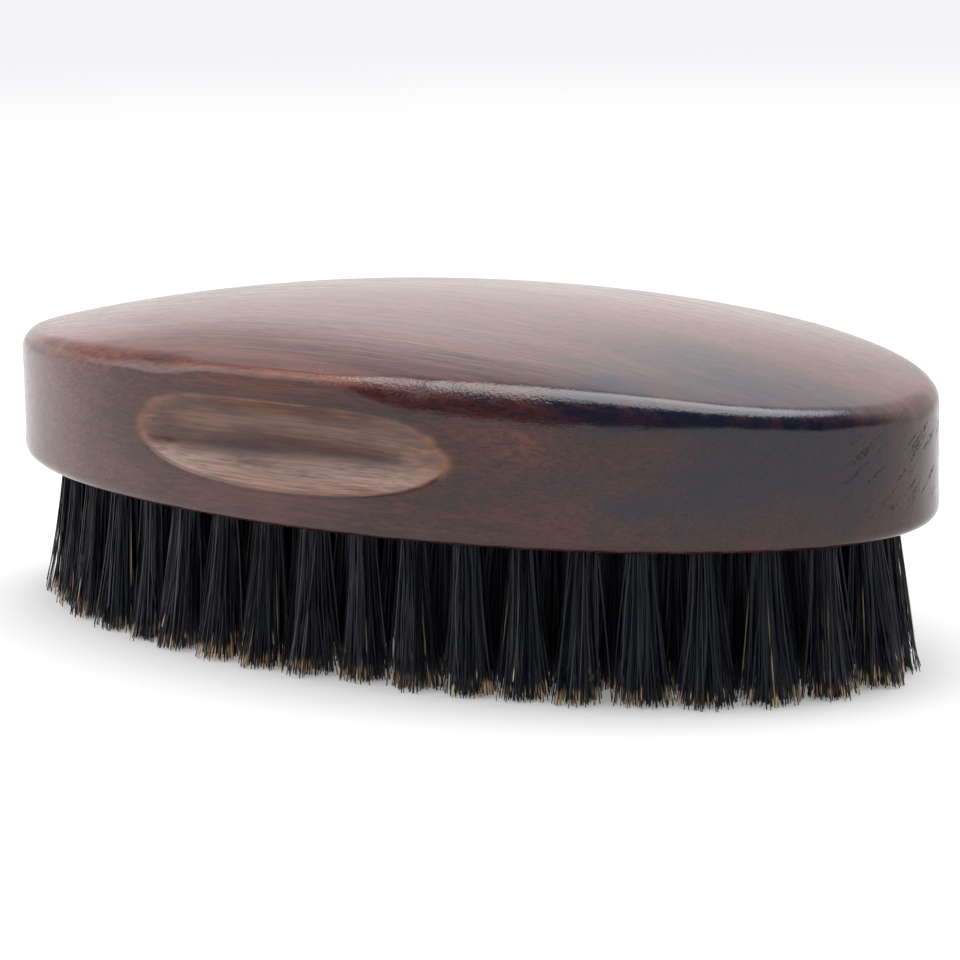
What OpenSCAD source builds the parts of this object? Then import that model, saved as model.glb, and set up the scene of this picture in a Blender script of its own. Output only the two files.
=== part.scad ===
// Palm-held oval beard brush. One solid block of hardwood with a domed back, rounded edges
// and a finger groove milled into each long side. Its flat face is drilled with blind holes
// in oval rings. Each hole holds a tuft of boar bristle, folded in half over a flat wire
// anchor that is pressed across the hole into the wood on both sides.
// +X runs along the handle, +Y across it and +Z up. The brush stands on its bristle tips:
// the origin is the middle of that rest plane. All sizes are in millimetres.

/* [Handle] */
// Length of the wooden handle
handle_length = 112; // [100:1:130]
// Width of the wooden handle
handle_width = 62; // [58:1:72]
// Thickness of the wood in its middle, from the drilled face to the top of the dome
handle_thickness = 20; // [18:0.5:24]
// Radius of the domed back along the handle
dome_radius_long = 232; // [200:1:400]
// Radius of the domed back across the handle
dome_radius_cross = 126; // [110:1:300]
// Radius of the rounded edge between the back and the side
top_edge_radius = 2.6; // [1:0.1:4]
// Radius of the rounded edge between the side and the drilled face
lower_edge_radius = 1.4; // [0.6:0.1:2.5]

/* [Finger grooves] */
// Length of each finger groove at the surface of the side
groove_length = 40; // [34:1:46]
// Depth of each finger groove at its middle
groove_depth = 2.8; // [2.4:0.1:3]
// Radius of the groove's rounded floor
groove_floor_radius = 3.6; // [3:0.1:4]
// Height of the flatter part of the groove's floor
groove_floor_flat = 2; // [1:0.1:2.4]
// Slope of the flatter part, which makes the groove deepest below its middle, in degrees
groove_floor_slope = 14; // [0:1:20]
// Height of the groove's middle above the drilled face
groove_rise = 8.5; // [8:0.1:9]
// Distance of each groove from the middle of its side: the front one is nearer the -X end
groove_shift = 0.8; // [0:0.1:3]

/* [Bristles] */
// Free length of the bristles, from the drilled face to the trimmed tips
bristle_length = 16; // [12:0.5:22]
// Distance from the outline of the handle to the centres of the outer ring of tufts
ring_inset = 6; // [5.4:0.1:7]
// Target spacing of the tufts along each ring
tuft_pitch = 5.8; // [5.8:0.1:6.6]
// Diameter of each tuft inside its hole
tuft_root_d = 3; // [2.6:0.1:3]
// Diameter of each tuft across its trimmed tips
tuft_tip_d = 5.1; // [4:0.1:5.1]
// Outward lean of the outer ring of tufts, in degrees
outer_lean = 3.5; // [0:0.5:3.5]

/* [Holes and anchors] */
// Diameter of each drilled hole
hole_d = 3.1; // [2.8:0.1:3.1]
// Depth of each drilled hole
hole_depth = 7.5; // [6:0.5:8]
// Length of each wire anchor, which is more than the hole's diameter
anchor_length = 3.9; // [3.5:0.1:4.2]
// Height of each wire anchor
anchor_height = 1.8; // [1.2:0.1:2.2]
// Thickness of each wire anchor
anchor_thickness = 0.4; // [0.3:0.05:0.6]

/* [Hidden] */
RINGS = 4;                             // oval rings of tufts, round one straight row
OUTER = 0;                             // the outer ring's number
CENTRE = RINGS;                        // the centre row's number
RING_START = [0, 0.5, 0.5, 0];         // each ring's first tuft, in pitches from the end
half_l = handle_length / 2;
half_w = handle_width / 2;
face_z = bristle_length;               // height of the drilled face
dome_z = face_z + handle_thickness;    // height of the top of the dome
ring_step = (half_w - ring_inset) / RINGS;
hole_z = face_z + hole_depth;          // height of the holes' blind ends

AROUND = 96;                           // points round the handle's outline
EDGE_STEPS = 5;                        // steps of the rounded top edge
LOWER_STEPS = 3;                       // steps of the rounded lower edge
DOME_STEPS = 6;                        // steps from the rounded edge to the top of the dome

fold = 0.9;                            // bristle that passes behind each anchor
fold_chamfer = 0.4;                    // rounding of the folded end of a tuft
end_gap = 0.1;                         // gap between a folded end and the end of its hole
neck_z = 0.8;                          // how far inside its hole a tuft starts to spread
neck_d = tuft_root_d - 0.3;            // a tuft's diameter where it starts to spread
seat_z = 0.4;                          // how far inside its hole the packed root starts
trim = 2;                              // length that is cut off to trim the tips level

// ---- Outline of the handle, an ellipse

function on_outline(a, inset = 0) = [(half_l - inset) * cos(a), (half_w - inset) * sin(a)];
function outward(a) =
    let (n = [half_w * cos(a), half_l * sin(a)]) n / norm(n);

// Height of the domed back over a point, and its slope there
function dome_at(p) =
    dome_z - p.x * p.x / (2 * dome_radius_long) - p.y * p.y / (2 * dome_radius_cross);
function dome_fall(p, n) = p.x * n.x / dome_radius_long + p.y * n.y / dome_radius_cross;

// ---- Sections of the handle, each one a ring of points from the drilled face up

function at_height(p, z) = [p.x, p.y, z];
function lower_edge(step) = [
    for (i = [0:AROUND - 1])
        let (a = 360 * i / AROUND, turn = 90 * step / LOWER_STEPS)
            at_height(on_outline(a) - outward(a) * lower_edge_radius * (1 - sin(turn)),
                      face_z + lower_edge_radius * (1 - cos(turn)))
];
// Where the rounded edge meets the dome, at the same slope
function edge_turn(a) = atan(dome_fall(on_outline(a) - outward(a) * top_edge_radius, outward(a)));
function edge_inner(a) = on_outline(a) - outward(a) * top_edge_radius * (1 - sin(edge_turn(a)));
function top_edge(step) = [
    for (i = [0:AROUND - 1])
        let (a = 360 * i / AROUND,
             low = edge_turn(a),
             turn = 90 + (low - 90) * step / EDGE_STEPS,
             centre_z = dome_at(edge_inner(a)) - top_edge_radius * cos(low))
            at_height(on_outline(a) - outward(a) * top_edge_radius * (1 - sin(turn)),
                      centre_z + top_edge_radius * cos(turn))
];
function dome(step) = [
    for (i = [0:AROUND - 1])
        let (p = edge_inner(360 * i / AROUND) * (1 - step / DOME_STEPS))
            at_height(p, dome_at(p))
];

module block() {
    sections = [
        for (s = [0:LOWER_STEPS]) lower_edge(s),
        for (s = [0:EDGE_STEPS]) top_edge(s),
        for (s = [1:DOME_STEPS - 1]) dome(s)
    ];
    last = len(sections) - 1;
    points = [for (s = sections) each s, [0, 0, dome_z]];
    walls = [
        for (s = [0:last - 1], i = [0:AROUND - 1])
            let (j = (i + 1) % AROUND, low = s * AROUND, high = low + AROUND)
                each [[low + i, high + i, high + j], [low + i, high + j, low + j]]
    ];
    crown = [for (i = [0:AROUND - 1]) [last * AROUND + i, len(points) - 1,
                                       last * AROUND + (i + 1) % AROUND]];
    drilled_face = [[for (i = [0:AROUND - 1]) i]];
    polyhedron(points, concat(walls, crown, drilled_face), convexity = 4);
}

// ---- Finger grooves: a round-nosed cutter of large radius, plunged into each long side

side_curve = half_w / (half_l * half_l);   // curvature of the side at its middle
cutter_radius = 1 / (8 * groove_depth / pow(groove_length, 2) - side_curve);
nose_x = cutter_radius - groove_floor_radius
         - groove_floor_flat / 2 * sin(groove_floor_slope);

module cutter_nose() {
    square([2 * groove_floor_radius, groove_floor_flat], center = true);
    for (end = [-1, 1])
        translate([0, end * groove_floor_flat / 2]) circle(groove_floor_radius, $fn = 48);
}

module groove_cutter(side) {
    translate([side * groove_shift, side * (half_w - groove_depth + cutter_radius),
               face_z + groove_rise])
        rotate_extrude($fn = 180)
            translate([nose_x, 0]) rotate(groove_floor_slope) cutter_nose();
}

// ---- Places of the tufts, evenly spaced by distance along each ring

function ring_half_l(ring) = half_l - ring_inset - ring * ring_step;
function ring_half_w(ring) = half_w - ring_inset - ring * ring_step;
function on_ring(ring, a) = [ring_half_l(ring) * cos(a), ring_half_w(ring) * sin(a)];

ARC_STEPS = 180;
function arc_sums(ring, i = 1, sum = 0, found = [[0, 0]]) =
    i > ARC_STEPS ? found :
    let (a = 360 * i / ARC_STEPS,
         next = sum + norm(on_ring(ring, a) - on_ring(ring, a - 360 / ARC_STEPS)))
        arc_sums(ring, i + 1, next, concat(found, [[next, a]]));

ring_arcs = [for (ring = [0:RINGS - 1]) arc_sums(ring)];
function ring_length(ring) = ring_arcs[ring][ARC_STEPS].x;
centre_half = floor((ring_half_l(RINGS - 1) - 2 * tuft_pitch) / tuft_pitch);

// How many tufts a ring holds: an even number, so that both ends look the same
function tuft_count(ring) =
    ring == CENTRE ? 2 * centre_half + 1 : 2 * floor(ring_length(ring) / tuft_pitch / 2);

// [place, direction of lean] of a tuft on its ring
function tuft_angle(ring, k) =
    lookup((k + RING_START[ring]) * ring_length(ring) / tuft_count(ring), ring_arcs[ring]);
function tuft_at(ring, k) =
    ring == CENTRE ? [(k - centre_half) * tuft_pitch, 0] : on_ring(ring, tuft_angle(ring, k));
function lean_of(ring) = ring == CENTRE ? 0 : outer_lean * pow(1 - ring / RINGS, 1.5);
function lean_towards(ring, k) =
    ring == CENTRE ? 0 :
    let (a = tuft_angle(ring, k)) atan2(ring_half_l(ring) * sin(a), ring_half_w(ring) * cos(a));

// ---- One hole, one tuft and one anchor

module hole(place) {
    translate([place.x, place.y, face_z - 1])
        cylinder(d = hole_d, h = hole_depth + 1, $fn = 32);
}

module anchor(place) {
    translate([place.x, place.y, hole_z - end_gap - fold - anchor_height / 2])
        cube([anchor_length, anchor_thickness, anchor_height], center = true);
}

module tuft_root() {
    translate([0, 0, face_z + seat_z])
        cylinder(d = tuft_root_d, h = hole_depth - seat_z - end_gap - fold_chamfer, $fn = 32);
    translate([0, 0, hole_z - end_gap - fold_chamfer])
        cylinder(d1 = tuft_root_d, d2 = tuft_root_d - 2 * fold_chamfer, h = fold_chamfer,
                 $fn = 32);
}

module tuft_spread(lean, towards) {
    drop = face_z + neck_z;
    reach = drop + trim;
    tip_d = neck_d + (tuft_tip_d - neck_d) * reach / drop;
    translate([0, 0, drop])
        rotate([0, 180 - lean, towards])
            cylinder(d1 = neck_d, d2 = tip_d, h = reach, $fn = 32);
}

module tuft(ring, k) {
    place = tuft_at(ring, k);
    difference() {
        translate([place.x, place.y, 0]) {
            difference() {
                union() {
                    tuft_root();
                    tuft_spread(lean_of(ring), lean_towards(ring, k));
                }
                translate([0, 0, -trim]) cube([20, 20, 2 * trim], center = true);
            }
        }
        anchor(place);
    }
}

// ---- The separate pieces

module handle() {
    color("#4a2418")
        difference() {
            block();
            for (side = [-1, 1]) groove_cutter(side);
            for (ring = [0:CENTRE], k = [0:tuft_count(ring) - 1]) {
                hole(tuft_at(ring, k));
                anchor(tuft_at(ring, k));
            }
        }
}

module outer_tuft(k) {
    color("#16151a") tuft(OUTER, k);
}

module tuft_ring(ring) {
    color("#1c1a20") for (k = [0:tuft_count(ring) - 1]) tuft(ring, k);
}

module anchor_ring(ring) {
    color("#b9b4a6") for (k = [0:tuft_count(ring) - 1]) anchor(tuft_at(ring, k));
}

// ---- Nodes: each tuft of the outer ring has its own, and the inner rings have one each

function two_digits(n) = n < 10 ? str("0", n) : str(n);
function outer_name(k) = str("tuft_outer_", two_digits(k + 1));
function ring_name(ring) =
    ring == OUTER ? "outer" : ring == CENTRE ? "centre_row" : str("ring_", ring + 1);

handle();
for (k = [0:tuft_count(OUTER) - 1])
    outer_tuft(k);
for (ring = [1:CENTRE])
    tuft_ring(ring);
for (ring = [0:CENTRE])
    anchor_ring(ring);
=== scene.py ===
"""The looks of a palm-held oval beard brush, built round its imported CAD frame.

The handle becomes one fine mesh with worn edges, cut finger grooves and drilled holes.
Every tuft becomes a bundle of separate bristles that follows its own CAD solid.
All lengths are in metres, in the frame of the CAD model: +X along the handle, +Z up.
The front is the side towards -Y.
"""

import math
from types import SimpleNamespace

import bpy
import numpy as np
from mathutils import Matrix, Vector, noise
from mathutils.geometry import delaunay_2d_cdt


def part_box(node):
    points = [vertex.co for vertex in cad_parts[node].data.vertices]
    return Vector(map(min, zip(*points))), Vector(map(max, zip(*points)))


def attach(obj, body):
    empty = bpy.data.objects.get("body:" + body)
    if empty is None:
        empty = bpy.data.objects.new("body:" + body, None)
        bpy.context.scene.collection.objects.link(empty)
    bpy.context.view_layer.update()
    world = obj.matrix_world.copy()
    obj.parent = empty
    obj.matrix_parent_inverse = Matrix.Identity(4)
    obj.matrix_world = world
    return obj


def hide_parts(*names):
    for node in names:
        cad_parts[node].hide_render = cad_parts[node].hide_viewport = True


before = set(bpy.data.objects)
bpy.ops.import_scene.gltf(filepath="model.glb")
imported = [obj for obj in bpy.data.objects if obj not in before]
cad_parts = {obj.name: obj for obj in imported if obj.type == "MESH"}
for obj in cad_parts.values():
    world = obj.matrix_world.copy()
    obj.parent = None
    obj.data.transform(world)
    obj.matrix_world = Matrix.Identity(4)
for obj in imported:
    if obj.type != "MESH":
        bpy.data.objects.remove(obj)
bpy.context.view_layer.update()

MM = 0.001
TURN = 2 * math.pi
DEG = math.radians(1)

# ---- The handle's shape, from its CAD box and the radii that it is made to

handle_low, handle_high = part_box("handle")
HALF_L = handle_high.x
HALF_W = handle_high.y
FACE_Z = handle_low.z
DOME_Z = handle_high.z
DOME_RADIUS_LONG = 232 * MM
DOME_RADIUS_CROSS = 126 * MM
LOWER_RADIUS = 1.4 * MM

EDGE_WIDTH = 2.3 * MM                  # of the rounded top edge
EDGE_NARROWER = 1.1 * MM               # how much narrower it is above each groove
EDGE_WIDER = 0.5 * MM                  # how much wider it is at the front right
EDGE_TALLER = 0.7 * MM                 # how much taller than wide it is there
EDGE_WORN_BY = 0.9 * MM                # an edge this much narrower than usual is fully worn

SANDED = 0.08 * MM                     # how far sanding takes the surface in
TOP_FROM = FACE_Z + 12 * MM            # the wall keeps its height below this level
TOP_FADE = 3 * MM
SHOULDER_RISE = 0.45 * MM              # lift of the dome along its front right edge
SHOULDER_MIDDLE = (34 * MM, -24 * MM)
SHOULDER_SIZE = (17 * MM, 9 * MM)

GROOVE_LENGTH = 40 * MM
GROOVE_DEPTH = 2.8 * MM
GROOVE_FLOOR_RADIUS = 3.6 * MM
GROOVE_FLOOR_FLAT = 2 * MM
GROOVE_FLOOR_SLOPE = 14 * DEG
GROOVE_Z = FACE_Z + 8.5 * MM
GROOVE_SHIFT = -0.8 * MM               # the front groove's middle; the back one's is opposite
GROOVE_CURL = 0.8 * MM                 # rise of the groove's two ends over its middle
CREASE_Z = FACE_Z + 7.1 * MM           # the line where the groove's two cuts meet
CREASE_DEPTH = 0.8 * MM
CREASE_ROUND = 0.3 * MM                # rounding of the crease's bottom
CREASE_REACH = 1.3 * MM                # how far above and below its line it fades
CREASE_WAVE = 0.35 * MM                # how far its line wanders up and down
CREASE_SLOPE = 0.01                    # how much its line falls along the handle
RIPPLE_DEPTH = 0.010 * MM              # the cutter's marks
RIPPLE_STEP = 0.5 * MM
RIM_ROUND = 0.3 * MM                   # rounding of the groove's worn rim

HOLE_RADIUS = 1.55 * MM
HOLE_CHAMFER = 0.12 * MM
HOLE_DEPTH = 7.5 * MM
HOLE_SIDES = 24

# ---- How finely the handle is meshed

FINE_STEP = 0.19 * MM                  # along the outline, where the grooves are
COARSE_STEP = 0.7 * MM                 # along the rest of the outline
FINE_REACH = 24 * MM                   # how far from the middle the fine steps go
FINE_FADE = 6 * MM                     # over how far they grow to the coarse ones
LOWER_ROWS = 5
ROWS_BELOW = 12                        # rows of the wall under the groove, in it and over it
ROWS_INSIDE = 44
ROWS_ABOVE = 14
LEAST_OPENING = 0.7 * MM               # half of the least height that the rows in the groove span
RIM_SAMPLES = 900                      # heights tried to find the grooves' rims
EDGE_ROWS = 11
DOME_STEP = 1.3 * MM


# ---- Small tools

def smoothstep(x, low, high):
    """0 below low and 1 above high, with a smooth rise between them."""
    t = np.clip((x - low) / (high - low), 0, 1)
    return t * t * (3 - 2 * t)


def plateau(x, low, high, soft):
    """1 from low to high, falling smoothly to 0 over the distance soft on either side."""
    return smoothstep(x, low - soft, low) * (1 - smoothstep(x, high, high + soft))


def bell(x, y, middle, size):
    """1 at the middle, falling smoothly to 0 over about the two sizes round it."""
    return np.exp(-((x - middle[0]) / size[0]) ** 2 - ((y - middle[1]) / size[1]) ** 2)


def smooth_min(a, b, width):
    """The smaller of a and b, rounded where they cross."""
    near = np.maximum(width - np.abs(a - b), 0) / width
    return np.minimum(a, b) - near * near * width / 4


def noise_at(points, size, seed):
    """Smooth noise from about -1 to 1 at each point, with features about size across."""
    offset = Vector((seed, 0.37 * seed, -0.61 * seed))
    return np.array([noise.noise(Vector(p) / size + offset) for p in points])


def shares(count):
    """The fractions from 1/count to 1, one to a row."""
    return np.arange(1, count + 1)[:, None] / count


def mesh_object(name, points, faces, smooth_angle, uvs, marks):
    """A mesh with one UV map for baking, and one number per point for each mark."""
    mesh = bpy.data.meshes.new(name)
    mesh.from_pydata(points.tolist(), [], faces)
    mesh.uv_layers.new(name="OFBake").data.foreach_set("uv", np.ravel(uvs))
    for label, values in marks.items():
        layer = mesh.attributes.new(label, "FLOAT", "POINT")
        layer.data.foreach_set("value", np.asarray(values, np.float32))
    mesh.shade_smooth()
    mesh.set_sharp_from_angle(angle=smooth_angle)
    ob = bpy.data.objects.new(name, mesh)
    bpy.context.scene.collection.objects.link(ob)
    return ob


# ---- Where the tufts are, read from their CAD solids

ROOT_REACH = 3 * MM                    # more than a tuft is wide at its root
END_LAYER = 0.05 * MM                  # points this close to a tuft's end belong to the end


def group_middles(points, reach):
    """The middles of the groups of points that lie within reach of each other."""
    middles = []
    while len(points):
        near = np.linalg.norm(points - points[0], axis=1) < reach
        group = points[near]
        middles.append((group.min(0) + group.max(0)) / 2)
        points = points[~near]
    return np.array(middles)


def tuft_lines(node):
    """The middle of each tuft of a CAD node at its root, and at its trimmed tips."""
    co = np.array([v.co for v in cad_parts[node].data.vertices])
    folded_ends = co[co[:, 2] > co[:, 2].max() - END_LAYER][:, :2]
    trimmed_ends = co[co[:, 2] < END_LAYER][:, :2]
    roots = group_middles(folded_ends, ROOT_REACH)
    gaps = np.linalg.norm(trimmed_ends[:, None] - roots[None], axis=2)
    owner = gaps.argmin(1)
    tips = [(trimmed_ends[owner == i].min(0) + trimmed_ends[owner == i].max(0)) / 2
            for i in range(len(roots))]
    return list(zip(roots, tips))


tuft_nodes = sorted(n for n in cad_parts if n.startswith("tuft"))
tufts = {node: tuft_lines(node) for node in tuft_nodes}
hole_middles = [root for node in tuft_nodes for root, tip in tufts[node]]


# ---- The finger grooves

def groove_floor(x, z):
    """How far the groove's floor is from the handle's middle plane, or nan above and below it."""
    side_curve = HALF_W / HALF_L ** 2
    cutter_radius = 1 / (8 * GROOVE_DEPTH / GROOVE_LENGTH ** 2 - side_curve)
    sine, cosine = math.sin(GROOVE_FLOOR_SLOPE), math.cos(GROOVE_FLOOR_SLOPE)
    half_flat = GROOVE_FLOOR_FLAT / 2
    nose = cutter_radius - GROOVE_FLOOR_RADIUS - half_flat * sine
    rise = z - GROOVE_Z - GROOVE_CURL * np.minimum(np.abs(2 * x / GROOVE_LENGTH), 1) ** 2
    # how far the cutter's rounded edge reaches past its nose: two arcs with a flat between
    outside_it = -1.0
    reach = np.full(z.shape, outside_it)
    for end in (-1, 1):
        square = GROOVE_FLOOR_RADIUS ** 2 - (rise - end * half_flat * cosine) ** 2
        arc = np.sqrt(np.maximum(square, 0)) - end * half_flat * sine
        reach = np.where(square > 0, np.maximum(reach, arc), reach)
    along = (rise - GROOVE_FLOOR_RADIUS * sine) / cosine
    flat = GROOVE_FLOOR_RADIUS * cosine - along * sine
    reach = np.where(np.abs(along) <= half_flat, np.maximum(reach, flat), reach)
    outside = HALF_W - GROOVE_DEPTH + cutter_radius
    depth = outside - np.sqrt(np.maximum((nose + reach) ** 2 - x ** 2, 0))
    return np.where(reach > outside_it / 2, depth, np.nan)


def groove_depth(x, y, z):
    """How far in the groove's floor is, how far above its crease, and the crease's strength."""
    along = x * -np.sign(y) - GROOVE_SHIFT
    floor_y = groove_floor(along, z)
    plain = np.where(np.isnan(floor_y), -1.0, np.abs(y) - np.nan_to_num(floor_y))
    above = z - CREASE_Z - CREASE_WAVE * np.sin(along / (6 * MM)) + CREASE_SLOPE * along
    within = plateau(along, -14 * MM, 11 * MM, 7 * MM)
    crease = CREASE_DEPTH * np.exp(-np.hypot(above, CREASE_ROUND) / CREASE_REACH) * within
    ripple = RIPPLE_DEPTH * np.sin(z / RIPPLE_STEP + 2.5 * np.sin(along / (9 * MM)))
    inner = smoothstep(plain, 0.1 * MM, 1.2 * MM)
    return plain + (crease - ripple) * inner, above, within


def cut_grooves(rings):
    """Moves the wall in to the grooves' floors, and marks each point that is in or near them."""
    x, y, z = (rings[..., i] for i in range(3))
    depth, above, within = groove_depth(x, y, z)
    wall = np.abs(y)
    rings[..., 1] = np.sign(y) * smooth_min(wall, wall - depth, RIM_ROUND)
    groove = smoothstep(depth, -0.06 * MM, 0.22 * MM)
    rim = np.exp(-(depth / (0.2 * MM)) ** 2)
    # painted highlight: marks the groove's lower facet, which faces up to the light, to be painted
    # paler
    painted_lit_facet = groove * smoothstep(-above, 0.1 * MM, 1.4 * MM) * (0.35 + 0.65 * within)
    shade = smoothstep(above, -0.5 * MM, 0.3 * MM) * np.exp(-(above / (1.9 * MM)) ** 2)
    # painted shade: a dark band on the upper facet, just above the crease
    painted_crease_shade = groove * within * shade
    return {"groove": groove, "rim": rim, "painted_lit_facet": painted_lit_facet, "painted_crease_shade": painted_crease_shade}


# ---- The handle's side: rings of points from the drilled face up to the dome

def outline_angles():
    """Angles round the handle's ellipse, closest together along the two grooves."""
    angles = [0.0]
    while angles[-1] < TURN:
        a = angles[-1]
        far = smoothstep(abs(HALF_L * math.cos(a)), FINE_REACH, FINE_REACH + FINE_FADE)
        step = FINE_STEP + (COARSE_STEP - FINE_STEP) * far
        angles.append(a + step / math.hypot(HALF_L * math.sin(a), HALF_W * math.cos(a)))
    return np.array(angles[:-1]) * (TURN / angles[-1])


def top_edge_size(x, y):
    """Width and height of the rounded top edge: small above each groove, tall at one end."""
    crisp = np.where(y < 0, plateau(x, -9 * MM, 8 * MM, 7 * MM),
                     plateau(x, -10 * MM, 8 * MM, 9 * MM))
    tall = np.where(y < 0, plateau(x, 18 * MM, 32 * MM, 14 * MM), 0.2)
    places = np.column_stack([x, y, np.zeros(len(x))])
    uneven = 1 + 0.16 * noise_at(places, 7 * MM, 31) + 0.08 * noise_at(places, 2.5 * MM, 33)
    width = (EDGE_WIDTH - EDGE_NARROWER * crisp + EDGE_WIDER * tall) * uneven
    return width, width + EDGE_TALLER * tall * uneven


def dome_height(x, y):
    """The level of the domed back over a place."""
    return DOME_Z - x ** 2 / (2 * DOME_RADIUS_LONG) - y ** 2 / (2 * DOME_RADIUS_CROSS)


def wall_heights(edge, low, high):
    """The heights of the wall's rows at each column: under the groove, in it and over it."""
    x, y = edge.T
    tried = np.linspace(low, high.min(), RIM_SAMPLES)
    inside = groove_depth(x, y, np.outer(tried, np.ones(len(x))))[0] > 0
    lower = tried[inside.argmax(0)]
    upper = tried[RIM_SAMPLES - 1 - inside[::-1].argmax(0)]
    cut_here = inside.any(0)
    middle = np.where(cut_here, (lower + upper) / 2, GROOVE_Z + GROOVE_CURL)
    half = np.maximum(np.where(cut_here, (upper - lower) / 2, 0), LEAST_OPENING)
    z = np.concatenate([low + (middle - half - low) * shares(ROWS_BELOW),
                        middle - half * np.cos(TURN / 2 * shares(ROWS_INSIDE)),
                        middle + half + (high - middle - half) * shares(ROWS_ABOVE)])
    # where the groove is lower than the rows in it span, the nearest rows move to its rims
    narrow = np.flatnonzero(cut_here & (half == LEAST_OPENING))
    for rim in (lower, upper):
        nearest = np.abs(z - rim).argmin(0)
        z[nearest[narrow], narrow] = rim[narrow]
    return z


def side_rings():
    """The rings of points, how worn and how sandy the varnish is, and each column's way out."""
    angles = outline_angles()
    columns = len(angles)
    edge = np.stack([HALF_L * np.cos(angles), HALF_W * np.sin(angles)], 1)
    outward = np.stack([HALF_W * np.cos(angles), HALF_L * np.sin(angles)], 1)
    outward /= np.linalg.norm(outward, axis=1)[:, None]
    rings, wear, sandy = [], [], []

    def add(inset, z, worn=0, sand=0):
        flat = edge - outward * (np.ones(columns) * inset)[:, None]
        rings.append(np.column_stack([flat, np.ones(columns) * z]))
        wear.append(np.ones(columns) * worn)
        sandy.append(np.ones(columns) * sand)

    # the top edge is a stretch of an ellipse that ends where its slope is the dome's
    width, tall = top_edge_size(edge[:, 0], edge[:, 1])
    slope_at = edge - outward * width[:, None]
    fall = np.arctan(slope_at[:, 0] * outward[:, 0] / DOME_RADIUS_LONG
                     + slope_at[:, 1] * outward[:, 1] / DOME_RADIUS_CROSS)
    last_turn = np.arctan2(tall * np.cos(fall), width * np.sin(fall))
    inner = edge - outward * (width * (1 - np.cos(last_turn)))[:, None]
    arc_z = dome_height(inner[:, 0], inner[:, 1]) - tall * np.sin(last_turn)
    arc_wear = 0.7 * np.clip((EDGE_WIDTH - width) / EDGE_WORN_BY, 0, 1)
    front_sand = plateau(edge[:, 0], -6 * MM, 28 * MM, 12 * MM)
    arc_sand = 0.25 + 0.75 * np.where(edge[:, 1] < 0, front_sand, 0)

    for k in range(LOWER_ROWS + 1):
        turn = TURN / 4 * k / LOWER_ROWS
        add(LOWER_RADIUS * (1 - math.sin(turn)), FACE_Z + LOWER_RADIUS * (1 - math.cos(turn)))
    for z in wall_heights(edge, FACE_Z + LOWER_RADIUS, arc_z):
        add(0, z)
    for k in range(1, EDGE_ROWS + 1):
        turn = last_turn * k / EDGE_ROWS
        add(width * (1 - np.cos(turn)), arc_z + tall * np.sin(turn),
            worn=arc_wear * math.sin(TURN / 2 * k / EDGE_ROWS) ** 4,
            sand=arc_sand * math.sin(TURN / 2 * k / (EDGE_ROWS + 1)))
    return np.array(rings), np.array(wear), np.array(sandy), outward


# ---- The flat fills: the drilled face, and the dome

def triangulate(ring, inner_points, holes):
    """Triangles between an outer ring, the holes and loose points, as numbers in that order."""
    flat = [Vector(p) for p in np.concatenate([ring, *holes, inner_points])]
    edges, start = [], 0
    for loop in [ring, *holes]:
        edges += [(start + i, start + (i + 1) % len(loop)) for i in range(len(loop))]
        start += len(loop)
    out, _, triangles, source, _, _ = delaunay_2d_cdt(flat, edges, [], 1, 1e-9)
    if len(out) != len(flat):
        raise ValueError("two points of a flat fill lie in the same place")
    middles = np.array([hole.mean(0) for hole in holes])
    kept = []
    for triangle in triangles:
        corners = [source[i][0] for i in triangle]
        centre = sum((flat[i] for i in corners), Vector((0, 0))) / 3
        in_hole = len(holes) and np.hypot(*(middles - np.array(centre)).T).min() < HOLE_RADIUS
        if not in_hole:
            kept.append(corners)
    return kept


def circle(middle, radius, sides):
    """Evenly spaced points round a middle."""
    turns = np.arange(sides) * TURN / sides
    return middle + radius * np.stack([np.cos(turns), np.sin(turns)], 1)


def dome_points(ring):
    """Loose points over the dome on a triangular grid, clear of its edge."""
    along = np.arange(-HALF_L, HALF_L, DOME_STEP)
    across = np.arange(-HALF_W, HALF_W, DOME_STEP * math.sqrt(3) / 2)
    found = []
    for row, y in enumerate(across):
        found += [(x + DOME_STEP / 2 * (row % 2), y) for x in along]
    found = np.array(found)
    room_l = np.abs(ring[:, 0]).max() - 0.9 * DOME_STEP
    room_w = np.abs(ring[:, 1]).max() - 0.9 * DOME_STEP
    return found[(found[:, 0] / room_l) ** 2 + (found[:, 1] / room_w) ** 2 < 1]


# ---- The whole handle, which unwraps into a square at its real size: the dome lies at the
# bottom left, the drilled face over it, the holes to the right, and the side along the top

ATLAS = 170 * MM                       # side of the square
MARGIN = 1 * MM
FACE_UP = 65 * MM                      # how far up the drilled face starts
BACK_STRIP_UP = 129 * MM               # how far up the side's two strips start
FRONT_STRIP_UP = 149 * MM
STRIP_HEIGHT = 18 * MM
STRIP_RING = 10                        # the ring of the wall that a strip's length follows
CELLS_RIGHT = 115 * MM                 # how far right the holes' cells start
CELL_WIDTH = 10.5 * MM
CELL_HEIGHT = 4.5 * MM
CELLS_ACROSS = 5
CELL_WALL = 9 * MM                     # a hole's wall in its cell
CELL_LEVELS = (0, 0.4 * MM, 3.4 * MM)  # mouth, throat and end of a hole in its cell
CELL_END = (9.4 * MM, 1 * MM)          # where a hole's flat end lies in its cell
CELL_END_RADIUS = 0.3 * MM


class Skin:
    """The points, faces and UV corners of a mesh, gathered one stretch at a time."""

    def __init__(self):
        self.stretches, self.faces, self.uvs = [], [], []
        self.count = 0

    def add_points(self, flat, z):
        """Adds points at one height, or at a height each, and gives the first one's number."""
        self.stretches.append(np.column_stack([flat, np.ones(len(flat)) * z]))
        self.count += len(flat)
        return self.count - len(flat)

    def add_face(self, corners, uvs):
        """Adds a face by its points' numbers, with a place in the square for each corner."""
        self.faces.append(tuple(corners))
        self.uvs += uvs


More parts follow.
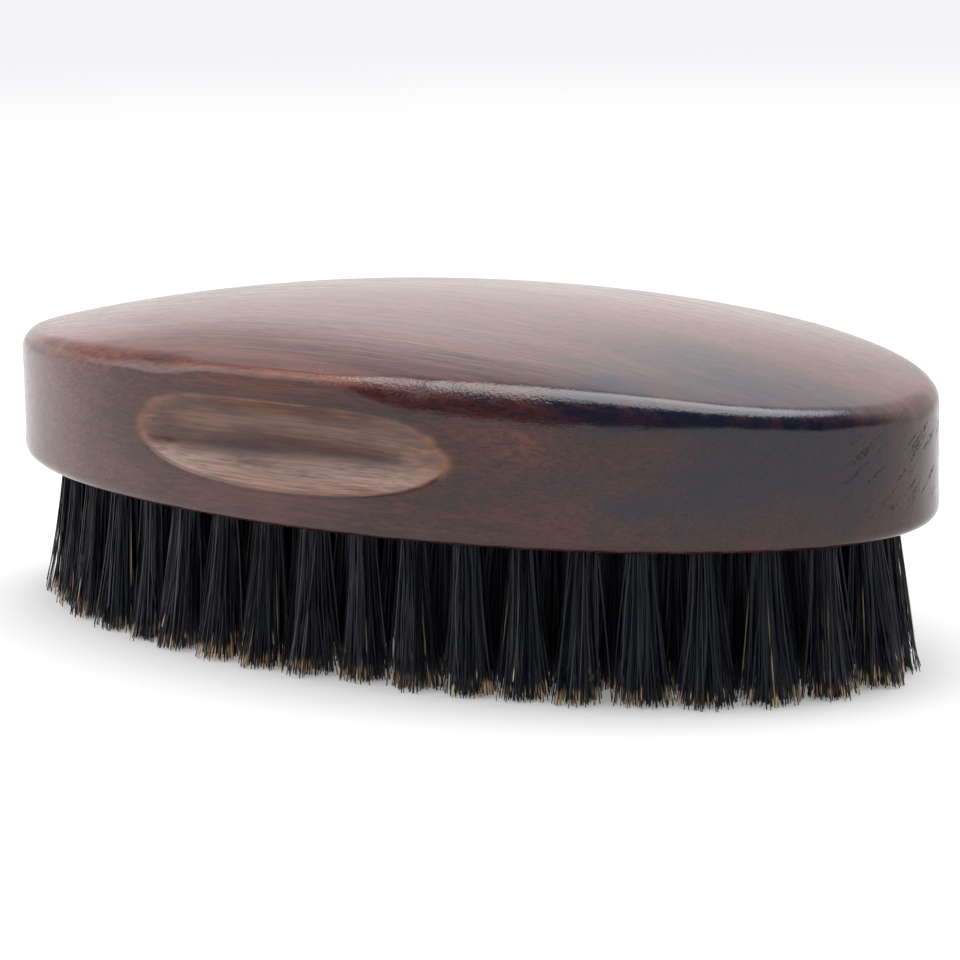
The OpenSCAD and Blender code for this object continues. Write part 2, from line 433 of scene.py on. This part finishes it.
def add_side(skin, rings):
    """The side's quads, with one strip of the square for the back and one for the front."""
    rows, columns = rings.shape[:2]
    skin.add_points(rings[..., :2].reshape(-1, 2), rings[..., 2].ravel())
    closed = rings[STRIP_RING, list(range(columns)) + [0]]
    lengths = np.append(0, np.cumsum(np.linalg.norm(np.diff(closed, axis=0), axis=1)))
    half = columns // 2
    for c in range(columns):
        first, low = (0, BACK_STRIP_UP) if c < half else (lengths[half], FRONT_STRIP_UP)
        u0, u1 = (lengths[k] - first + MARGIN for k in (c, c + 1))
        for r in range(rows - 1):
            a, b = r * columns + c, r * columns + (c + 1) % columns
            v0, v1 = (low + STRIP_HEIGHT * k / rows for k in (r, r + 1))
            skin.add_face((a, b, b + columns, a + columns),
                          [(u0, v0), (u1, v0), (u1, v1), (u0, v1)])


def add_dome(skin, rings):
    """The dome's triangles, inside the last ring of the side."""
    rows, columns = rings.shape[:2]
    ring = rings[-1, :, :2]
    loose = dome_points(ring)
    first = skin.add_points(loose, dome_height(loose[:, 0], loose[:, 1]))
    numbers = np.append(np.arange(columns) + (rows - 1) * columns, np.arange(len(loose)) + first)
    spots = np.concatenate([ring, loose]) + (HALF_L + MARGIN, HALF_W + MARGIN)
    for triangle in triangulate(ring, loose, []):
        skin.add_face(numbers[triangle].tolist(), spots[triangle].tolist())


def add_drilled_face(skin, rings):
    """The triangles between the first ring and the holes' mouths. Gives the mouths' number."""
    ring = rings[0, :, :2]
    mouths = [circle(m, HOLE_RADIUS + HOLE_CHAMFER, HOLE_SIDES) for m in hole_middles]
    rims = np.concatenate(mouths)
    first = skin.add_points(rims, FACE_Z)
    numbers = np.append(np.arange(len(ring)), np.arange(len(rims)) + first)
    spots = np.concatenate([ring, rims]) + (HALF_L + MARGIN, HALF_W + FACE_UP)
    for triangle in triangulate(ring, np.zeros((0, 2)), mouths):
        facing_down = triangle[::-1]
        skin.add_face(numbers[facing_down].tolist(), spots[facing_down].tolist())
    return first


def add_hole(skin, number, middle, mouth):
    """The chamfer, wall and flat end of a hole, in a cell of the square."""
    throat = circle(middle, HOLE_RADIUS, HOLE_SIDES)
    loops = [mouth, skin.add_points(throat, FACE_Z + HOLE_CHAMFER),
             skin.add_points(throat, FACE_Z + HOLE_DEPTH)]
    cell = np.array([CELLS_RIGHT + CELL_WIDTH * (number % CELLS_ACROSS),
                     MARGIN + CELL_HEIGHT * (number // CELLS_ACROSS)])
    for low, high, v0, v1 in zip(loops, loops[1:], CELL_LEVELS, CELL_LEVELS[1:]):
        for k in range(HOLE_SIDES):
            j = (k + 1) % HOLE_SIDES
            u0, u1 = (CELL_WALL * i / HOLE_SIDES for i in (k, k + 1))
            corners = cell + [(u1, v0), (u0, v0), (u0, v1), (u1, v1)]
            skin.add_face((low + j, low + k, high + k, high + j), corners.tolist())
    end = circle(cell + CELL_END, CELL_END_RADIUS, HOLE_SIDES)[::-1]
    skin.add_face([loops[-1] + k for k in reversed(range(HOLE_SIDES))], end.tolist())


def hand_shape(points, outward, rows, columns):
    """Gives the sanded surface the slight unevenness of handwork."""
    side = points[:rows * columns]
    uneven = noise_at(side, 14 * MM, 3) * 0.06 * MM + noise_at(side, 5 * MM, 5) * 0.015 * MM
    fade = np.repeat(smoothstep(np.arange(rows), 2, LOWER_ROWS + 4), columns)
    side[:, :2] += np.tile(outward, (rows, 1)) * ((uneven - SANDED) * fade)[:, None]
    top = points[:, 2] > TOP_FROM
    x, y, z = points[top].T
    wave = noise_at(points[top], 22 * MM, 9) * 0.05 * MM
    wave += SHOULDER_RISE * bell(x, y, SHOULDER_MIDDLE, SHOULDER_SIZE)
    points[top, 2] += (wave - SANDED) * smoothstep(z, TOP_FROM, TOP_FROM + TOP_FADE)


FRONT, BACK, DOME = -1, 1, 0

# Each patch: x, face, height (or y on the dome), size along, size across, strength. The warm and
# dark patches are stain; of the pale ones, those on the front are painted sheen
WARM_SPOTS = [
    (-31, FRONT, 26, 8, 6, 0.30),
    (24, FRONT, 28, 6, 4, 0.8),
    (-32, FRONT, 30.5, 12, 2.5, 0.8),
    (0, FRONT, 31, 16, 1.8, 0.7),
    (33, FRONT, 21, 9, 4, 0.35),
    (-6, FRONT, 18.5, 16, 2.2, 0.35),
    (8, BACK, 28, 16, 5, 0.9),
    (-34, BACK, 24, 10, 5, 0.6),
    (22, DOME, 8, 22, 9, 0.35),
    (-20, DOME, -12, 20, 8, 0.4),
]
DARK_SPOTS = [
    (37, FRONT, 20.5, 3, 1.8, 0.9),
    (44, FRONT, 23, 5, 4, 1.0),
    (51, FRONT, 27, 5, 5, 0.9),
    (31, FRONT, 23, 5, 1.8, 0.7),
    (36, FRONT, 31, 20, 2.6, 1.0),
    (40, FRONT, 28.5, 6, 1.5, 0.6),
    (24, FRONT, 22, 3, 1.5, 0.4),
    (54, FRONT, 21, 3, 4, 0.5),
    (-24, BACK, 26, 7, 5, 0.8),
    (38, BACK, 22, 8, 5, 0.8),
    (34, DOME, -6, 10, 7, 0.5),
    (-36, DOME, 6, 12, 7, 0.4),
    (4, DOME, 16, 9, 5, 0.35),
]
# the two pale patches on the front are painted sheen, making the left end and the low strip of the
# wall paler; the one on the back is simply paler
PALE_AND_SHEEN_SPOTS = [
    (-43, FRONT, 25, 13, 9, 0.75),
    (-12, FRONT, 18.5, 30, 2.4, 0.45),
    (30, BACK, 26, 14, 6, 0.4),
]


def blobs(points, spots):
    """How strong the patches of a list, whose lengths are in millimetres, are at each point."""
    x, y, z = points.T / MM
    total = np.zeros(len(points))
    for middle, face, other, size, height, strength in spots:
        across = y if face == DOME else z
        there = bell(x, across, (middle, other), (size, height))
        if face != DOME:
            there *= smoothstep(face * y, 0, 8)
        total += strength * there
    return np.clip(total, 0, 1)


def handle_mesh():
    """The handle as one closed mesh, with marks for its grooves and their painted light and shade,
    wear, stain, painted sheen and end grain.
    """
    rings, wear, sandy, outward = side_rings()
    marks = cut_grooves(rings) | {"wear": wear, "sandy": sandy}
    rows, columns = rings.shape[:2]
    skin = Skin()
    add_side(skin, rings)
    add_dome(skin, rings)
    mouths = add_drilled_face(skin, rings)
    for number, middle in enumerate(hole_middles):
        add_hole(skin, number, middle, mouths + number * HOLE_SIDES)
    points = np.concatenate(skin.stretches)
    hand_shape(points, outward, rows, columns)
    unmarked = np.zeros(len(points) - rows * columns)
    marks = {label: np.append(values, unmarked) for label, values in marks.items()}
    x, y, z = points.T
    marks["warm"] = blobs(points, WARM_SPOTS)
    marks["dark"] = blobs(points, DARK_SPOTS)
    marks["pale_and_sheen"] = blobs(points, PALE_AND_SHEEN_SPOTS)
    end_wood = smoothstep(np.abs(x), 52.6 * MM, 54.2 * MM)
    marks["end"] = end_wood * plateau(z, 19.5 * MM, 26 * MM, 2 * MM)
    marks["top"] = smoothstep(z - dome_height(x, y), -1.6 * MM, -0.3 * MM)
    return mesh_object("handle_wood", points, skin.faces, 50 * DEG,
                       np.array(skin.uvs) / ATLAS, marks)


# ---- The bristles

BRISTLE_SIDES = 3
GOLDEN_SHARE = 0.618034                # of a turn, which spreads the bristles evenly over a disc
ROOT_SPREAD = 1.35 * MM                # how far from a tuft's middle its bristles start
FAN = 2.45                             # about how far from it they end, in millimetres
FARTHEST = 3.2 * MM                    # no bristle ends farther from the middle than this
STRAY = 1.6 * MM                       # the most that a stray one is off its place each way
FLOOR_GAP = 0.02 * MM


def bristle_lines(root, tip, count, steps, rng):
    """The middle line of every bristle of a tuft, from inside its hole to its trimmed end."""
    turn = TURN * (np.arange(count) * GOLDEN_SHARE + rng.random())
    spread = np.sqrt((np.arange(count) + 0.5) / count)
    disc = np.stack([np.cos(turn), np.sin(turn)], 1) * spread[:, None]
    disc += rng.normal(0, 0.06, (count, 2))
    start = root + disc * ROOT_SPREAD

    # the tuft leans as a whole and fans out, and some of its bristles stray
    lean = rng.normal(0, 0.35 * MM, 2)
    fan = (FAN + rng.normal(0, 0.2)) * MM
    fan = fan * np.clip(1 + rng.normal(0, 0.22, (count, 1)), 0.4, 1.3)
    stray = (rng.random((count, 1)) < 0.15) * rng.normal(0, 1.0 * MM, (count, 2))
    stray = np.clip(stray, -STRAY, STRAY)
    offset = lean + disc * fan + rng.normal(0, 0.42 * MM, (count, 2)) + stray
    offset *= np.minimum(1, FARTHEST / np.linalg.norm(offset, axis=1))[:, None]
    end = tip + offset

    # each bristle bows, most end just above the floor, and a few are cut shorter
    bow = rng.normal(0, 0.25 * MM, (count, 2)) - disc * 0.35 * MM
    short = np.abs(rng.normal(0, 0.25 * MM, count))
    short += (rng.random(count) < 0.08) * rng.random(count) * 2.5 * MM
    top = FACE_Z + (1.5 + rng.random(count)) * MM
    t = np.linspace(0, 1, steps + 1)
    flat = start[:, None] + (end - start)[:, None] * (t ** 1.12)[None, :, None]
    flat = flat + bow[:, None] * np.sin(TURN / 2 * t)[None, :, None]
    z = top[:, None] + (short + FLOOR_GAP - top)[:, None] * t[None]
    return np.concatenate([flat, z[:, :, None]], 2)


def bristle_mesh(name, lines, count, steps, stoutness, rng):
    """One mesh of separate three-sided bristles: count of them for every tuft of lines."""
    t = np.linspace(0, 1, steps + 1)
    points, tone, pale = [], [], []
    for root, tip in lines:
        middle = bristle_lines(root, tip, count, steps, rng)
        thick = (0.060 + 0.028 * rng.random(count)) * MM * stoutness
        twist = rng.random(count) * TURN
        radius = thick[:, None] * (1 - 0.2 * t ** 4)[None]
        turns = twist[:, None] + np.arange(BRISTLE_SIDES)[None] * TURN / BRISTLE_SIDES
        ring = np.stack([np.cos(turns), np.sin(turns), np.zeros(turns.shape)], 2)
        points.append(middle[:, :, None] + radius[:, :, None, None] * ring[:, None])
        tone.append(rng.random(count))
        pale.append(rng.random(count))
    bristles = count * len(lines)
    faces, uvs = bristle_faces(bristles, steps)
    per_bristle = (steps + 1) * BRISTLE_SIDES
    marks = {"tone": np.repeat(np.concatenate(tone), per_bristle),
             "pale": np.repeat(np.concatenate(pale), per_bristle),
             "along": np.tile(np.repeat(t, BRISTLE_SIDES), bristles)}
    return mesh_object(name, np.concatenate(points).reshape(-1, 3), faces, 100 * DEG, uvs, marks)


def bristle_faces(bristles, steps):
    """The faces of closed bristles, and a cell of its own in the UV square for each one."""
    sides = BRISTLE_SIDES
    quads, corners = [], []
    for k in range(steps):
        for s in range(sides):
            t = (s + 1) % sides
            quads.append((k * sides + s, (k + 1) * sides + s, (k + 1) * sides + t, k * sides + t))
            corners.append([(s / sides, k / steps), (s / sides, (k + 1) / steps),
                            ((s + 1) / sides, (k + 1) / steps), ((s + 1) / sides, k / steps)])
    caps = [tuple(range(sides)), tuple(steps * sides + s for s in reversed(range(sides)))]
    cap_corners = [[(0.5 * (s / sides), 0.01 * (s % 2)) for s in range(sides)],
                   [(0.5 * (s / sides), 1 - 0.01 * (s % 2)) for s in range(sides)]]
    pattern = np.array([c for q in corners + cap_corners for c in q])
    per_bristle = (steps + 1) * sides
    across = math.ceil(math.sqrt(bristles))
    cell, gap = 1 / across, 0.08
    faces, uvs = [], []
    for i in range(bristles):
        faces += [tuple(i * per_bristle + v for v in q) for q in quads + caps]
        corner = np.array([i % across, i // across]) * cell
        uvs.append(corner + (gap + (1 - 2 * gap) * pattern) * cell)
    return faces, np.concatenate(uvs)


# ---- Materials

class Nodes:
    """A node tree, with a short call for each kind of node that is used here."""

    def __init__(self, tree):
        self.tree = tree

    def add(self, kind, **settings):
        """A new node with its settings."""
        node = self.tree.nodes.new("ShaderNode" + kind)
        for key, value in settings.items():
            setattr(node, key, value)
        return node

    def feed(self, socket, value):
        """Links a socket to another node's output, or sets it to a constant."""
        if isinstance(value, bpy.types.NodeSocket):
            self.tree.links.new(value, socket)
        else:
            socket.default_value = value

    def attribute(self, name):
        """The mark that the mesh carries under this name."""
        return self.add("Attribute", attribute_name=name).outputs["Fac"]

    def place(self, x, y, z):
        """Position in millimetres, stretched by the three numbers."""
        mapping = self.add("Mapping")
        mapping.inputs["Scale"].default_value = (x / MM, y / MM, z / MM)
        self.feed(mapping.inputs["Vector"], self.add("TexCoord").outputs["Object"])
        return mapping.outputs["Vector"]

    def slanted(self, along_x, degrees, along, across):
        """Position in millimetres, turned about X and stretched along and across that slant."""
        turned = self.add("Mapping")
        turned.inputs["Rotation"].default_value = (math.radians(-degrees), 0, 0)
        self.feed(turned.inputs["Vector"], self.place(along_x, 1, 1))
        stretched = self.add("Mapping")
        stretched.inputs["Scale"].default_value = (1, along, across)
        self.feed(stretched.inputs["Vector"], turned.outputs["Vector"])
        return stretched.outputs["Vector"]

    def noise(self, vector, detail=2.0, rough=0.5, distortion=0.0):
        """Noise with features about one unit across."""
        node = self.add("TexNoise")
        self.feed(node.inputs["Vector"], vector)
        self.feed(node.inputs["Scale"], 1.0)
        self.feed(node.inputs["Detail"], detail)
        self.feed(node.inputs["Roughness"], rough)
        self.feed(node.inputs["Distortion"], distortion)
        return node.outputs["Fac"]

    def math(self, operation, a, b=0.0, clamp=False):
        """One step of arithmetic."""
        node = self.add("Math", operation=operation, use_clamp=clamp)
        self.feed(node.inputs[0], a)
        self.feed(node.inputs[1], b)
        return node.outputs[0]

    def times(self, a, b):
        """The product of two values."""
        return self.math("MULTIPLY", a, b)

    def total(self, first, *others):
        """The sum of all the values."""
        for other in others:
            first = self.math("ADD", first, other)
        return first

    def span(self, value, low, high, to_low=0.0, to_high=1.0):
        """to_low where the value is low, to_high where it is high, and smooth between."""
        node = self.add("MapRange", interpolation_type="SMOOTHSTEP")
        for key, number in (("From Min", low), ("From Max", high), ("To Min", to_low),
                            ("To Max", to_high)):
            self.feed(node.inputs[key], number)
        self.feed(node.inputs["Value"], value)
        return node.outputs[0]

    def mix(self, amount, a, b):
        """Colour a where the amount is 0, and b where it is 1."""
        node = self.add("Mix", data_type="RGBA")
        a_socket, b_socket, result = node.inputs[6], node.inputs[7], node.outputs[2]
        self.feed(node.inputs["Factor"], amount)
        self.feed(a_socket, a)
        self.feed(b_socket, b)
        return result


def colour(r, g, b):
    """An opaque colour."""
    return (r, g, b, 1.0)


def new_material(name):
    """A new material, its nodes and its shader's inputs."""
    material = bpy.data.materials.new(name)
    material.use_nodes = True
    shader = material.node_tree.nodes["Principled BSDF"]
    return material, Nodes(material.node_tree), shader.inputs


def wood_patterns(n):
    """The patterns that the wood's colour, gloss and relief share."""
    end_strokes = n.span(n.noise(n.slanted(0.2, 36, 0.16, 1.5), detail=1), 0.56, 0.63)
    end_specks = n.span(n.noise(n.slanted(3.0, 36, 3.0, 4.0)), 0.42, 0.60)
    return SimpleNamespace(
        bands=n.noise(n.place(0.014, 0.26, 0.26), detail=4, rough=0.6, distortion=0.5),
        figure=n.noise(n.place(0.045, 0.85, 0.85), detail=4, rough=0.7),
        grain=n.noise(n.place(0.09, 3.2, 3.2), detail=4, rough=0.6),
        fibre=n.noise(n.place(0.6, 9.0, 9.0), detail=3, rough=0.6),
        clouds=n.noise(n.place(0.07, 0.13, 0.13), detail=5, rough=0.62, distortion=0.5),
        pores=n.span(n.noise(n.place(0.40, 6.5, 6.5), detail=1), 0.60, 0.68),
        dashes=n.times(n.times(end_strokes, end_specks), n.attribute("end")))


def varnished_colour(n, wood):
    """Stained grain in long lines, paler on the sanded dome, with warm, pale and dark patches; the
    pale patches on the front are painted sheen.
    """
    tone = n.total(n.times(wood.grain, 0.35), n.times(wood.bands, 0.3), n.times(wood.figure, 0.35))
    light = n.span(tone, 0.36, 0.64)
    wall = n.mix(light, colour(0.015, 0.0036, 0.0040), colour(0.064, 0.0145, 0.0108))
    dome = n.mix(light, colour(0.032, 0.0090, 0.0085), colour(0.116, 0.0365, 0.0285))
    base = n.mix(n.attribute("top"), wall, dome)
    warm = n.mix(n.span(wood.grain, 0.35, 0.65),
                 colour(0.075, 0.015, 0.009), colour(0.170, 0.044, 0.022))
    warm_here = n.times(n.attribute("warm"), n.span(wood.clouds, 0.36, 0.60, 0.4, 1.0))
    base = n.mix(warm_here, base, warm)
    # painted sheen on the front of the wall, a paler patch on the back
    pale_and_sheen = n.mix(light, colour(0.090, 0.042, 0.040), colour(0.185, 0.090, 0.078))
    pale_and_sheen_here = n.times(n.attribute("pale_and_sheen"), n.span(wood.clouds, 0.36, 0.60, 0.6, 1.0))
    base = n.mix(pale_and_sheen_here, base, pale_and_sheen)
    patches = n.times(n.attribute("dark"), n.span(wood.clouds, 0.32, 0.50, 0.5, 1.0))
    stain = n.math("ADD", n.span(wood.clouds, 0.58, 0.72, 0.0, 0.6), patches, clamp=True)
    stain = n.times(stain, n.span(wood.figure, 0.36, 0.62, 1.0, 0.7))
    return n.mix(stain, base, colour(0.0045, 0.0085, 0.0210))


def groove_colour(n, wood):
    """Raw wood, painted paler below the groove's crease as light on its upward-facing facet, and
    painted dark just above the crease as shade.
    """
    mottle = n.noise(n.place(0.11, 0.40, 0.40), detail=4, rough=0.65)
    raw = n.mix(n.span(wood.grain, 0.32, 0.66),
                colour(0.130, 0.062, 0.044), colour(0.225, 0.118, 0.084))
    raw = n.mix(n.span(wood.bands, 0.50, 0.66, 0.0, 0.6), raw, colour(0.080, 0.030, 0.021))
    raw = n.mix(n.span(mottle, 0.38, 0.56, 0.65, 0.0), raw, colour(0.070, 0.034, 0.030))
    # painted highlight: the paler colour of the lower facet, lit from above
    painted_lit_facet = n.mix(n.span(wood.grain, 0.30, 0.66),
                 colour(0.22, 0.130, 0.098), colour(0.42, 0.285, 0.235))
    painted_lit_here = n.times(n.attribute("painted_lit_facet"), n.span(mottle, 0.36, 0.56, 0.40, 1.0))
    raw = n.mix(painted_lit_here, raw, painted_lit_facet)
    # painted shade: darker just above the crease
    raw = n.mix(n.times(n.attribute("painted_crease_shade"), 0.7), raw, colour(0.046, 0.022, 0.020))
    return n.mix(n.times(wood.pores, 0.25), raw, colour(0.045, 0.018, 0.013))


def stained_wood():
    """Dark stained and varnished hardwood, raw in the grooves and worn along the edges."""
    material, n, shader = new_material("stained_wood")
    wood = wood_patterns(n)
    groove = n.attribute("groove")
    open_grain = n.math("ADD", n.times(wood.pores, 0.5), n.times(wood.dashes, 0.8), clamp=True)
    surface = n.mix(open_grain, varnished_colour(n, wood), colour(0.0045, 0.0030, 0.0032))
    surface = n.mix(n.times(groove, 0.95), surface, groove_colour(n, wood))

    # the stain has rubbed off the edges in patches
    chipped = n.span(n.noise(n.place(0.22, 0.7, 0.7)), 0.36, 0.60, 0.15, 1.0)
    edges = n.math("MAXIMUM", n.attribute("wear"), n.times(n.attribute("rim"), 0.8))
    rubbed = n.mix(wood.fibre, colour(0.14, 0.042, 0.020), colour(0.38, 0.17, 0.085))
    surface = n.mix(n.times(n.times(edges, chipped), 0.8), surface, rubbed)
    n.feed(shader["Base Color"], surface)
    n.feed(shader["Roughness"],
           n.total(n.span(wood.figure, 0.35, 0.66, 0.11, 0.21), n.times(wood.pores, 0.08),
                   n.times(wood.dashes, 0.5), n.times(groove, 0.25)))
    shader["IOR"].default_value = 1.5

    # the varnish follows the grain, and is sandy along the rounded edge
    peel = n.noise(n.place(2.6, 3.8, 3.8), rough=0.6)
    coarse = n.total(n.times(n.attribute("sandy"), 3.2), 0.35)
    relief = n.total(n.times(peel, coarse), n.times(wood.fibre, 0.22),
                     n.times(wood.figure, 1.5), n.times(open_grain, -0.25))
    bump = n.add("Bump")
    bump.inputs["Strength"].default_value = 1.0
    bump.inputs["Distance"].default_value = 0.016 * MM
    n.feed(bump.inputs["Height"], relief)
    n.feed(shader["Normal"], bump.outputs["Normal"])
    return material


def boar_bristle():
    """Near-black hair whose blue cast is painted sheen, a little of it brown or blond, with pale
    tips in clumps.
    """
    material, n, shader = new_material("boar_bristle")
    tone, along, pale = (n.attribute(k) for k in ("tone", "along", "pale"))
    # painted sheen: the blue in the hair's colour stands in for a bluish reflection on black hair
    hair = n.mix(n.span(tone, 0.0, 1.0),
                 colour(0.0022, 0.0038, 0.0085), colour(0.0095, 0.0145, 0.0270))
    hair = n.mix(n.span(tone, 0.94, 0.98, 0.0, 0.7), hair, colour(0.055, 0.034, 0.022))
    clumps = n.noise(n.place(0.7, 0.7, 0.3))
    tips = n.times(n.span(along, 0.90, 0.95), n.span(pale, 0.50, 0.62))
    tips = n.times(tips, n.span(clumps, 0.46, 0.54))
    hair = n.mix(tips, hair, colour(0.62, 0.43, 0.24))
    blond = n.times(n.span(pale, 0.988, 0.991), n.span(along, 0.30, 0.60))
    hair = n.mix(blond, hair, colour(0.50, 0.36, 0.20))
    n.feed(shader["Base Color"], hair)
    shader["Roughness"].default_value = 0.46
    shader["Specular IOR Level"].default_value = 0.4
    return material


def anchor_wire():
    """Flat drawn wire, with fine lines along it."""
    material, n, shader = new_material("anchor_wire")
    drawn = n.noise(n.place(0.4, 9.0, 9.0), detail=3)
    n.feed(shader["Base Color"],
           n.mix(drawn, colour(0.46, 0.44, 0.40), colour(0.70, 0.68, 0.62)))
    n.feed(shader["Roughness"], n.span(drawn, 0.3, 0.7, 0.28, 0.46))
    shader["Metallic"].default_value = 1.0
    return material


def dress_frame():
    """Replaces the handle and the tufts by their fine pieces, and gives the anchors their metal."""
    handle = handle_mesh()
    handle.data.materials.append(stained_wood())
    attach(handle, "root")
    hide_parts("handle")
    hair = boar_bristle()
    for number, node in enumerate(tuft_nodes):
        rng = np.random.default_rng(1000 + number)
        # the inner tufts, which show less, have fewer and thicker bristles
        count, steps, stoutness = (280, 5, 1.0) if "outer" in node else (140, 4, 1.3)
        piece = bristle_mesh(node.replace("tuft", "bristles", 1), tufts[node], count, steps,
                             stoutness, rng)
        piece.data.materials.append(hair)
        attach(piece, "root")
        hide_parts(node)
    wire = anchor_wire()
    for name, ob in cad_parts.items():
        if name.startswith("anchors"):
            for slot in ob.material_slots:
                slot.material = wire


# ---- The studio: a white floor, and light from behind the object, from above and from the left

AZIMUTH = 36.3 * DEG
ELEVATION = 11.5 * DEG
ROLL = -1.07 * DEG
DISTANCE = 403.4 * MM
LENS = 140.7
SHIFT = (0.0219, -0.0040)
FLOOR_HALF = 6.0


def camera():
    """The camera, which looks down a little on the object from its front right."""
    back = Vector((math.sin(AZIMUTH) * math.cos(ELEVATION),
                   -math.cos(AZIMUTH) * math.cos(ELEVATION), math.sin(ELEVATION)))
    right = Vector((math.cos(AZIMUTH), math.sin(AZIMUTH), 0))
    up = back.cross(right)
    right, up = (right * math.cos(ROLL) + up * math.sin(ROLL),
                 up * math.cos(ROLL) - right * math.sin(ROLL))
    data = bpy.data.cameras.new("camera")
    data.lens = LENS
    data.shift_x, data.shift_y = SHIFT
    data.clip_start, data.clip_end = 0.01, 50
    ob = bpy.data.objects.new("camera", data)
    turn = Matrix((right, up, back)).transposed().to_4x4()
    place = Vector((0, 0, FACE_Z)) + back * DISTANCE
    ob.matrix_world = Matrix.Translation(place) @ turn
    bpy.context.scene.collection.objects.link(ob)
    bpy.context.scene.camera = ob


def floor():
    """A plain floor that glows a little, so that it is white: painted light, which also lightens
    the shadows on it. Its colour and glow are darker further off, as painted shade.
    """
    corners = [(-1, -1), (1, -1), (1, 1), (-1, 1)]
    mesh = bpy.data.meshes.new("floor")
    mesh.from_pydata([(x * FLOOR_HALF, y * FLOOR_HALF, 0) for x, y in corners], [],
                     [(0, 1, 2, 3)])
    ob = bpy.data.objects.new("floor", mesh)
    bpy.context.scene.collection.objects.link(ob)
    material, n, shader = new_material("white_floor")
    distance = n.add("VectorMath", operation="LENGTH")
    n.feed(distance.inputs[0], n.add("TexCoord").outputs["Object"])
    metres = distance.outputs["Value"]
    # painted light and shade: brighter round the object, darker further off
    white = n.mix(n.span(metres, 0.15, 0.75), colour(0.50, 0.50, 0.50),
                  colour(0.360, 0.360, 0.365))
    white = n.mix(n.span(metres, 1.0, 1.6), white, colour(0.42, 0.42, 0.42))
    n.feed(shader["Base Color"], white)
    n.feed(shader["Emission Color"], white)
    shader["Emission Strength"].default_value = 0.45
    shader["Roughness"].default_value = 1.0
    shader["Specular IOR Level"].default_value = 0.0
    mesh.materials.append(material)


def studio_light():
    """A soft environment: bright behind the object and overhead, and dark towards the front."""
    world = bpy.data.worlds.new("studio")
    bpy.context.scene.world = world
    world.use_nodes = True
    n = Nodes(world.node_tree)
    direction = n.add("TexCoord").outputs["Generated"]

    def towards(vector):
        node = n.add("VectorMath", operation="DOT_PRODUCT")
        n.feed(node.inputs[0], direction)
        node.inputs[1].default_value = vector
        return node.outputs["Value"]

    # a direction's angle above the floor, and its angle to the right of straight behind
    height = n.math("ARCSINE", towards((0, 0, 1)))
    ahead = towards((-math.sin(AZIMUTH), math.cos(AZIMUTH), 0))
    aside = towards((math.cos(AZIMUTH), math.sin(AZIMUTH), 0))
    azimuth = n.math("ARCTAN2", aside, ahead)
    away = n.math("ABSOLUTE", azimuth)

    # the backdrop is brighter on its right, above all high up and far round
    backdrop = n.times(n.span(away, 70 * DEG, 120 * DEG, 1, 0),
                       n.span(azimuth, -8 * DEG, 8 * DEG, 0.62, 0.90))
    high_right = n.times(n.span(height, 24 * DEG, 36 * DEG, 0, 0.35),
                         n.span(azimuth, -6 * DEG, 10 * DEG))
    far_right = n.span(azimuth, 40 * DEG, 70 * DEG, 1.0, 1.3)
    backdrop = n.times(backdrop, n.total(high_right, far_right))

    # a screen before it is brightest on its left and at its top edge, which is lower there
    top_edge = n.span(azimuth, -10 * DEG, -3 * DEG, 14 * DEG, 27 * DEG)
    under_edge = n.span(n.math("SUBTRACT", height, top_edge), -2 * DEG, 2 * DEG, 1, 0)
    screen = n.times(n.times(n.span(away, 60 * DEG, 90 * DEG, 1, 0), under_edge),
                     n.span(height, 2 * DEG, 24 * DEG, 0.25, 0.60))
    screen = n.times(screen, n.span(azimuth, -5 * DEG, 12 * DEG, 1.3, 0.2))

    # a window stands on the left, and a round light hangs overhead, a degree to the front
    off_window = n.math("ABSOLUTE", n.total(azimuth, 92 * DEG))
    window = n.times(n.span(off_window, 14 * DEG, 30 * DEG, 1, 0),
                     n.span(height, 40 * DEG, 60 * DEG, 1, 0))
    tilt = 1 * DEG
    hung_at = (math.sin(AZIMUTH) * math.sin(tilt), -math.cos(AZIMUTH) * math.sin(tilt),
               math.cos(tilt))
    overhead = n.span(n.math("ARCCOSINE", towards(hung_at)), 26 * DEG, 34 * DEG, 1, 0)

    background = n.tree.nodes["Background"]
    tint = n.mix(n.span(away, 60 * DEG, 110 * DEG), colour(1.03, 0.985, 0.98),
                 colour(0.86, 0.96, 1.16))
    tint = n.mix(overhead, n.mix(window, tint, colour(1.05, 0.98, 0.96)), colour(1.0, 1.0, 1.0))
    n.feed(background.inputs["Color"], tint)
    n.feed(background.inputs["Strength"],
           n.total(0.08, backdrop, screen, n.times(window, 2.1), n.times(overhead, 5.2)))
    bpy.context.scene.view_settings.view_transform = "Standard"


dress_frame()
camera()
floor()
studio_light()
